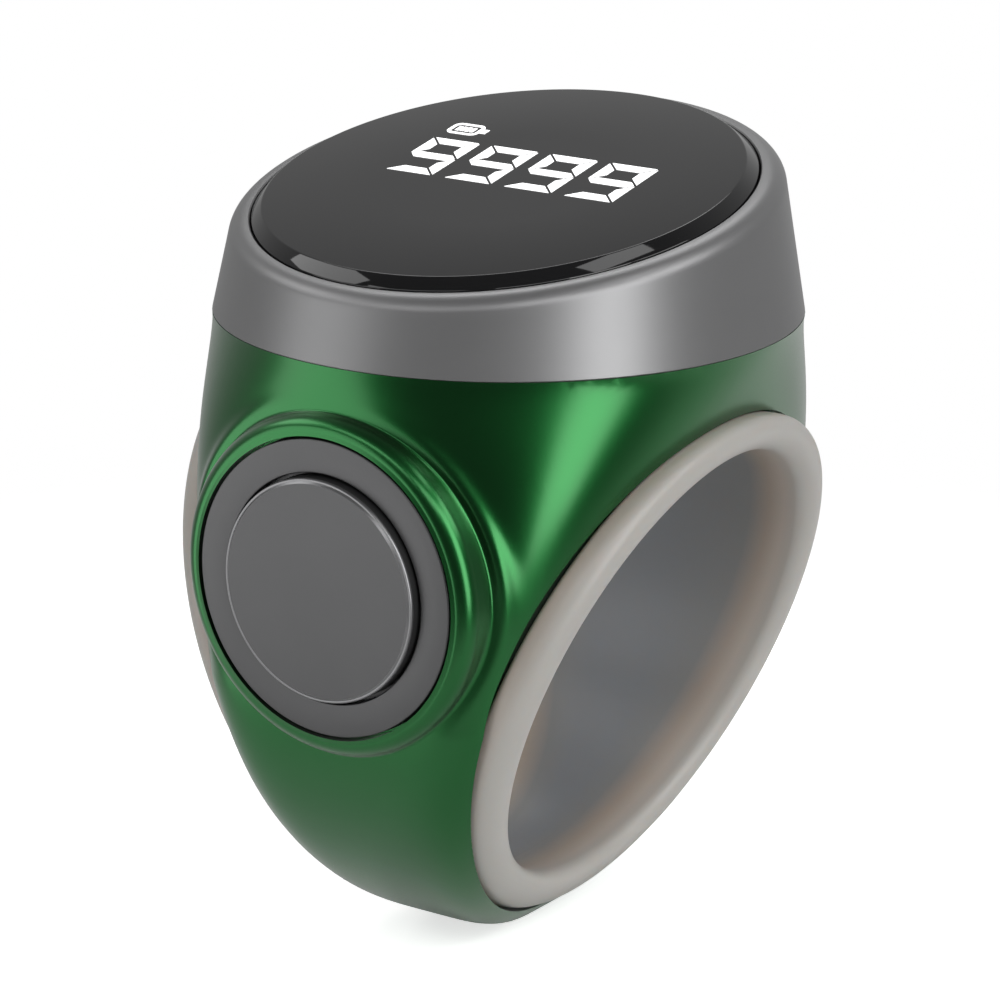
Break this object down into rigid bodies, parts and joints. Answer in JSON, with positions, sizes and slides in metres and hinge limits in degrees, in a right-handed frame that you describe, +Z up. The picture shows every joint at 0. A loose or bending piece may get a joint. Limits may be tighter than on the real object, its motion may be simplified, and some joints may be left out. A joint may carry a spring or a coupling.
{
  "type": "digital tasbih counter",
  "caption": "Finger ring bead counter with a tilted round display, a side push button and a soft finger sleeve.",
  "frame": {"origin": "centre of the finger hole", "axes": "+X along the finger hole, -Y towards the push button, +Z up through the display"},
  "size_m": [0.0252, 0.0261, 0.0345],
  "materials": {
    "lens_glass": "gloss, dark tinted",
    "lit_white": "lit display strokes",
    "bezel_metal": "satin, fine bead blast",
    "body_green": "anodised green, satin",
    "button_metal": "satin, fine bead blast",
    "barrel_metal": "satin",
    "sleeve_silicone": "soft, translucent beige",
    "glue_black": "matte",
    "gasket_rubber": "matte",
    "panel_glass": "gloss",
    "flex_amber": "satin film over copper",
    "connector_cream": "moulded",
    "moulded_black": "moulded, fine texture",
    "steel": "satin",
    "board_green": "solder mask",
    "chip_black": "moulded epoxy",
    "ceramic_white": "fired ceramic",
    "passive_tan": "fired ceramic with tinned ends",
    "battery_foil": "laminated foil",
    "foam_grey": "closed foam",
    "nickel": "bare strip",
    "weight_alloy": "sintered heavy alloy",
    "gold_plate": "plated"
  },
  "bodies": {
    "case": {"display_digits": "lit_white", "display_lens": "lens_glass", "lens_adhesive": "glue_black", "oled_panel": "panel_glass", "oled_flex": "flex_amber", "oled_connector": "connector_cream", "bezel_ring": "bezel_metal", "body_shell": "body_green", "inner_barrel": "barrel_metal", "finger_sleeve": "sleeve_silicone", "button_trim_ring": "button_metal", "button_gasket": "gasket_rubber", "switch_body": "moulded_black", "button_flex": "flex_amber", "display_carrier": "moulded_black", "carrier_screws": "steel", "main_board": "board_green", "controller_chip": "chip_black", "charger_chip": "chip_black", "crystal": "steel", "antenna": "ceramic_white", "board_passives": "passive_tan", "battery_cell": "battery_foil", "battery_pad": "foam_grey", "battery_tabs": "nickel", "motor_case": "steel", "motor_cradle": "foam_grey", "charge_contacts": "gold_plate", "contact_insulators": "moulded_black", "charge_flex": "flex_amber"},
    "button": {"button_cap": "button_metal"},
    "plunger": {"switch_plunger": "steel"},
    "rotor": {"motor_shaft": "steel", "motor_weight": "weight_alloy"}
  },
  "joints": [
    {"name": "button_press", "type": "slide", "parent": "case", "child": "button", "axis": [0, 1, 0], "range_m": [0, 0.00025], "stiffness_N_per_m": 4000, "springref_m": -0.0001},
    {"name": "switch_travel", "type": "slide", "parent": "case", "child": "plunger", "axis": [0, 1, 0], "range_m": [0, 0.00025]},
    {"name": "motor_spin", "type": "hinge", "parent": "case", "child": "rotor", "pos_m": [0, 0.0069, 0.0114], "axis": [1, 0, 0], "continuous": true}
  ],
  "couplings": [
    {"joint": "switch_travel", "follows": "button_press", "ratio": 1}
  ]
}
